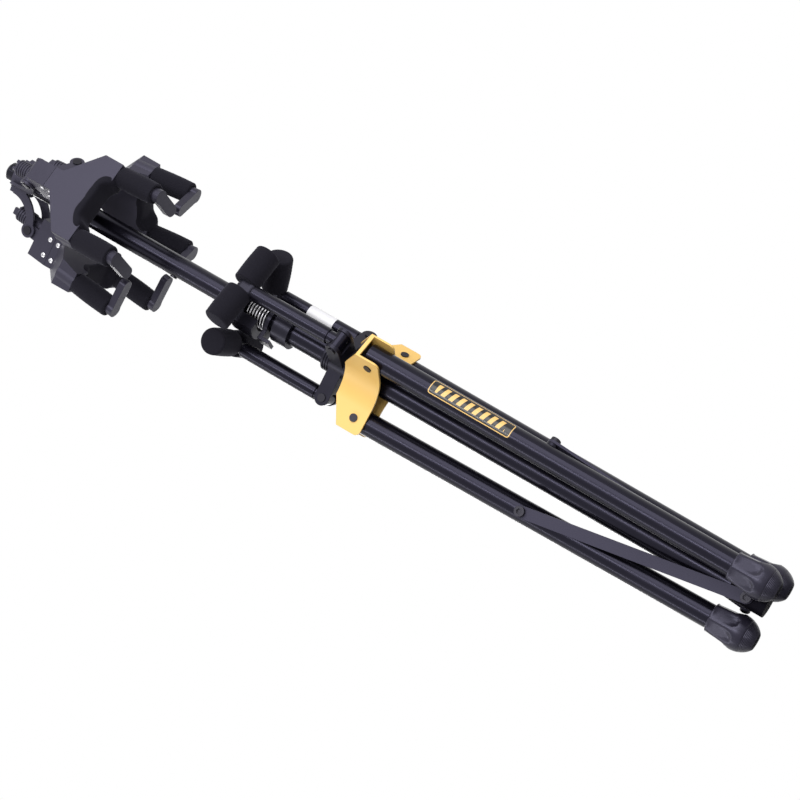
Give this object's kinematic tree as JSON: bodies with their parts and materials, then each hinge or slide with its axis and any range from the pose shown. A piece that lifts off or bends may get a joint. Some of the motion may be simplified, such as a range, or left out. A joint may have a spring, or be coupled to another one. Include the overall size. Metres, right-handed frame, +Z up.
{
  "type": "folding guitar floor stand",
  "caption": "Folded floor stand for guitars: tube legs and backrests close round a telescopic mast with hanging yokes.",
  "frame": {"origin": "on the floor under the middle of the folded stand", "axes": "+Z up along the mast; leg 1 points to -Y, with backrest 1 and yoke 1 turned a few degrees to its left; +X to the right seen from the front"},
  "size_m": [0.1764, 0.1738, 0.992],
  "materials": {
    "powder_coat": "black powder coat, semi-gloss",
    "yellow_coat": "yellow powder coat, satin",
    "black_steel": "blackened steel, satin",
    "bright_steel": "zinc plated, bright",
    "satin_plastic": "moulded plastic, satin",
    "black_plastic": "moulded plastic, satin",
    "foam": "closed-cell foam, matt",
    "rubber": "moulded rubber, satin"
  },
  "bodies": {
    "mast": {"mast_lower_tube": "powder_coat", "brace_hub": "powder_coat", "clutch_body": "black_plastic", "clutch_spring": "bright_steel"},
    "lever": {"clutch_lever": "black_plastic"},
    "upper": {"mast_upper_tube": "powder_coat", "mast_cap": "black_plastic", "height_stop": "black_steel", "top_hub": "black_steel", "yoke_fold_pins": "black_steel"},
    "collar": {"leg_bracket": "yellow_coat", "collar_block": "black_plastic", "leg_pivot_rivets": "black_steel", "backrest_hub": "black_plastic", "backrest_pins": "black_steel"},
    "leg_1": {"leg_1": "powder_coat", "foot_1": "rubber", "brace_bolt_1": "black_steel"},
    "brace_1": {"brace_1": "powder_coat", "hub_bolt_1": "black_steel"},
    "backrest_1": {"backrest_arm_1": "powder_coat", "backrest_tbar_1": "satin_plastic", "backrest_pads_1": "foam"},
    "yoke_stem_1": {"yoke_stem_1": "satin_plastic", "stem_screws_1": "bright_steel"},
    "yoke_body_1": {"yoke_body_1": "satin_plastic", "body_screws_1": "bright_steel", "yoke_pads_1": "foam"},
    "gate_left_1": {"gate_left_1": "satin_plastic"},
    "gate_right_1": {"gate_right_1": "satin_plastic"},
    "leg_2": {"leg_2": "powder_coat", "foot_2": "rubber", "brace_bolt_2": "black_steel"},
    "brace_2": {"brace_2": "powder_coat", "hub_bolt_2": "black_steel"},
    "backrest_2": {"backrest_arm_2": "powder_coat", "backrest_tbar_2": "satin_plastic", "backrest_pads_2": "foam"},
    "yoke_stem_2": {"yoke_stem_2": "satin_plastic", "stem_screws_2": "bright_steel"},
    "yoke_body_2": {"yoke_body_2": "satin_plastic", "body_screws_2": "bright_steel", "yoke_pads_2": "foam"},
    "gate_left_2": {"gate_left_2": "satin_plastic"},
    "gate_right_2": {"gate_right_2": "satin_plastic"},
    "leg_3": {"leg_3": "powder_coat", "foot_3": "rubber", "brace_bolt_3": "black_steel"},
    "brace_3": {"brace_3": "powder_coat", "hub_bolt_3": "black_steel"},
    "backrest_3": {"backrest_arm_3": "powder_coat", "backrest_tbar_3": "satin_plastic", "backrest_pads_3": "foam"},
    "yoke_stem_3": {"yoke_stem_3": "satin_plastic", "stem_screws_3": "bright_steel"},
    "yoke_body_3": {"yoke_body_3": "satin_plastic", "body_screws_3": "bright_steel", "yoke_pads_3": "foam"},
    "gate_left_3": {"gate_left_3": "satin_plastic"},
    "gate_right_3": {"gate_right_3": "satin_plastic"}
  },
  "joints": [
    {"name": "collar_slide", "type": "slide", "parent": "mast", "child": "collar", "axis": [0, 0, -1], "range_m": [0, 0.11553]},
    {"name": "height_slide", "type": "slide", "parent": "mast", "child": "upper", "axis": [0, 0, 1], "range_m": [0, 0.23]},
    {"name": "clutch_squeeze", "type": "slide", "parent": "mast", "child": "lever", "axis": [0, 0, 1], "range_m": [0, 0.006], "stiffness_N_per_m": 200, "springref_m": -0.004, "deforming": ["clutch_spring"]},
    {"name": "leg_1_spread", "type": "hinge", "parent": "collar", "child": "leg_1", "pos_m": [0.00075, -0.04603, 0.476], "axis": [-1, 0, 0], "range_deg": [0, 40.01]},
    {"name": "brace_1_swing", "type": "hinge", "parent": "leg_1", "child": "brace_1", "pos_m": [0.01675, -0.04276, 0.26803], "axis": [1, 0, 0], "range_deg": [0, 76.07]},
    {"name": "backrest_1_fold", "type": "hinge", "parent": "collar", "child": "backrest_1", "pos_m": [-0.00304, -0.04436, 0.521], "axis": [0.9962, -0.0872, 0], "range_deg": [0, 90]},
    {"name": "yoke_1_fold", "type": "hinge", "parent": "upper", "child": "yoke_stem_1", "pos_m": [-0.00971, -0.04634, 0.934], "axis": [-0.9744, 0.225, 0], "range_deg": [0, 84]},
    {"name": "yoke_1_drop", "type": "slide", "parent": "yoke_stem_1", "child": "yoke_body_1", "axis": [0.2237, 0.969, -0.1045], "range_m": [0, 0.006], "stiffness_N_per_m": 600, "springref_m": -0.01},
    {"name": "gate_left_1_swing", "type": "hinge", "parent": "yoke_body_1", "child": "gate_left_1", "pos_m": [0.02669, -0.07538, 0.78096], "axis": [0.0235, 0.1018, 0.9945], "range_deg": [0, 90.01]},
    {"name": "gate_right_1_swing", "type": "hinge", "parent": "yoke_body_1", "child": "gate_right_1", "pos_m": [-0.05516, -0.05648, 0.78096], "axis": [-0.0235, -0.1018, -0.9945], "range_deg": [0, 90.01]},
    {"name": "leg_2_spread", "type": "hinge", "parent": "collar", "child": "leg_2", "pos_m": [0.03972, 0.02147, 0.476], "axis": [0.5, -0.866, 0], "range_deg": [0, 40.01]},
    {"name": "brace_2_swing", "type": "hinge", "parent": "leg_2", "child": "brace_2", "pos_m": [0.02889, 0.03369, 0.26803], "axis": [-0.5, 0.866, 0], "range_deg": [0, 76.07]},
    {"name": "backrest_2_fold", "type": "hinge", "parent": "collar", "child": "backrest_2", "pos_m": [0.04017, 0.01735, 0.521], "axis": [-0.4226, 0.9063, 0], "range_deg": [0, 90]},
    {"name": "yoke_2_fold", "type": "hinge", "parent": "upper", "child": "yoke_stem_2", "pos_m": [0.04522, 0.01256, 0.934], "axis": [0.2924, -0.9563, 0], "range_deg": [0, 84]},
    {"name": "yoke_2_drop", "type": "slide", "parent": "yoke_stem_2", "child": "yoke_body_2", "axis": [-0.9511, -0.2908, -0.1045], "range_m": [0, 0.006], "stiffness_N_per_m": 600, "springref_m": -0.01},
    {"name": "gate_left_2_swing", "type": "hinge", "parent": "yoke_body_2", "child": "gate_left_2", "pos_m": [0.05217, 0.05861, 0.78096], "axis": [-0.1, -0.0306, 0.9945], "range_deg": [0, 90.01]},
    {"name": "gate_right_2_swing", "type": "hinge", "parent": "yoke_body_2", "child": "gate_right_2", "pos_m": [0.07673, -0.02172, 0.78096], "axis": [0.1, 0.0306, -0.9945], "range_deg": [0, 90.01]},
    {"name": "leg_3_spread", "type": "hinge", "parent": "collar", "child": "leg_3", "pos_m": [-0.03822, 0.02147, 0.476], "axis": [0.5, 0.866, 0], "range_deg": [0, 40.01]},
    {"name": "brace_3_swing", "type": "hinge", "parent": "leg_3", "child": "brace_3", "pos_m": [-0.04339, 0.00598, 0.26803], "axis": [-0.5, -0.866, 0], "range_deg": [0, 76.07]},
    {"name": "backrest_3_fold", "type": "hinge", "parent": "collar", "child": "backrest_3", "pos_m": [-0.03488, 0.02392, 0.521], "axis": [-0.5736, -0.8192, 0], "range_deg": [0, 90]},
    {"name": "yoke_3_fold", "type": "hinge", "parent": "upper", "child": "yoke_stem_3", "pos_m": [-0.03326, 0.03068, 0.934], "axis": [0.682, 0.7314, 0], "range_deg": [0, 84]},
    {"name": "yoke_3_drop", "type": "slide", "parent": "yoke_stem_3", "child": "yoke_body_3", "axis": [0.7273, -0.6783, -0.1045], "range_m": [0, 0.006], "stiffness_N_per_m": 600, "springref_m": -0.01},
    {"name": "gate_left_3_swing", "type": "hinge", "parent": "yoke_body_3", "child": "gate_left_3", "pos_m": [-0.07661, 0.01368, 0.78096], "axis": [0.0764, -0.0713, 0.9945], "range_deg": [0, 90.01]},
    {"name": "gate_right_3_swing", "type": "hinge", "parent": "yoke_body_3", "child": "gate_right_3", "pos_m": [-0.01932, 0.07511, 0.78096], "axis": [-0.0764, 0.0713, -0.9945], "range_deg": [0, 90.01]}
  ],
  "couplings": [
    {"joint": "leg_1_spread", "follows": "collar_slide", "rad_per_m": 6.0429},
    {"joint": "brace_1_swing", "follows": "collar_slide", "rad_per_m": 11.49},
    {"joint": "gate_left_1_swing", "follows": "yoke_1_drop", "rad_per_m": 261.8},
    {"joint": "gate_right_1_swing", "follows": "yoke_1_drop", "rad_per_m": 261.8},
    {"joint": "leg_2_spread", "follows": "collar_slide", "rad_per_m": 6.0429},
    {"joint": "brace_2_swing", "follows": "collar_slide", "rad_per_m": 11.49},
    {"joint": "gate_left_2_swing", "follows": "yoke_2_drop", "rad_per_m": 261.8},
    {"joint": "gate_right_2_swing", "follows": "yoke_2_drop", "rad_per_m": 261.8},
    {"joint": "leg_3_spread", "follows": "collar_slide", "rad_per_m": 6.0429},
    {"joint": "brace_3_swing", "follows": "collar_slide", "rad_per_m": 11.49},
    {"joint": "gate_left_3_swing", "follows": "yoke_3_drop", "rad_per_m": 261.8},
    {"joint": "gate_right_3_swing", "follows": "yoke_3_drop", "rad_per_m": 261.8}
  ]
}
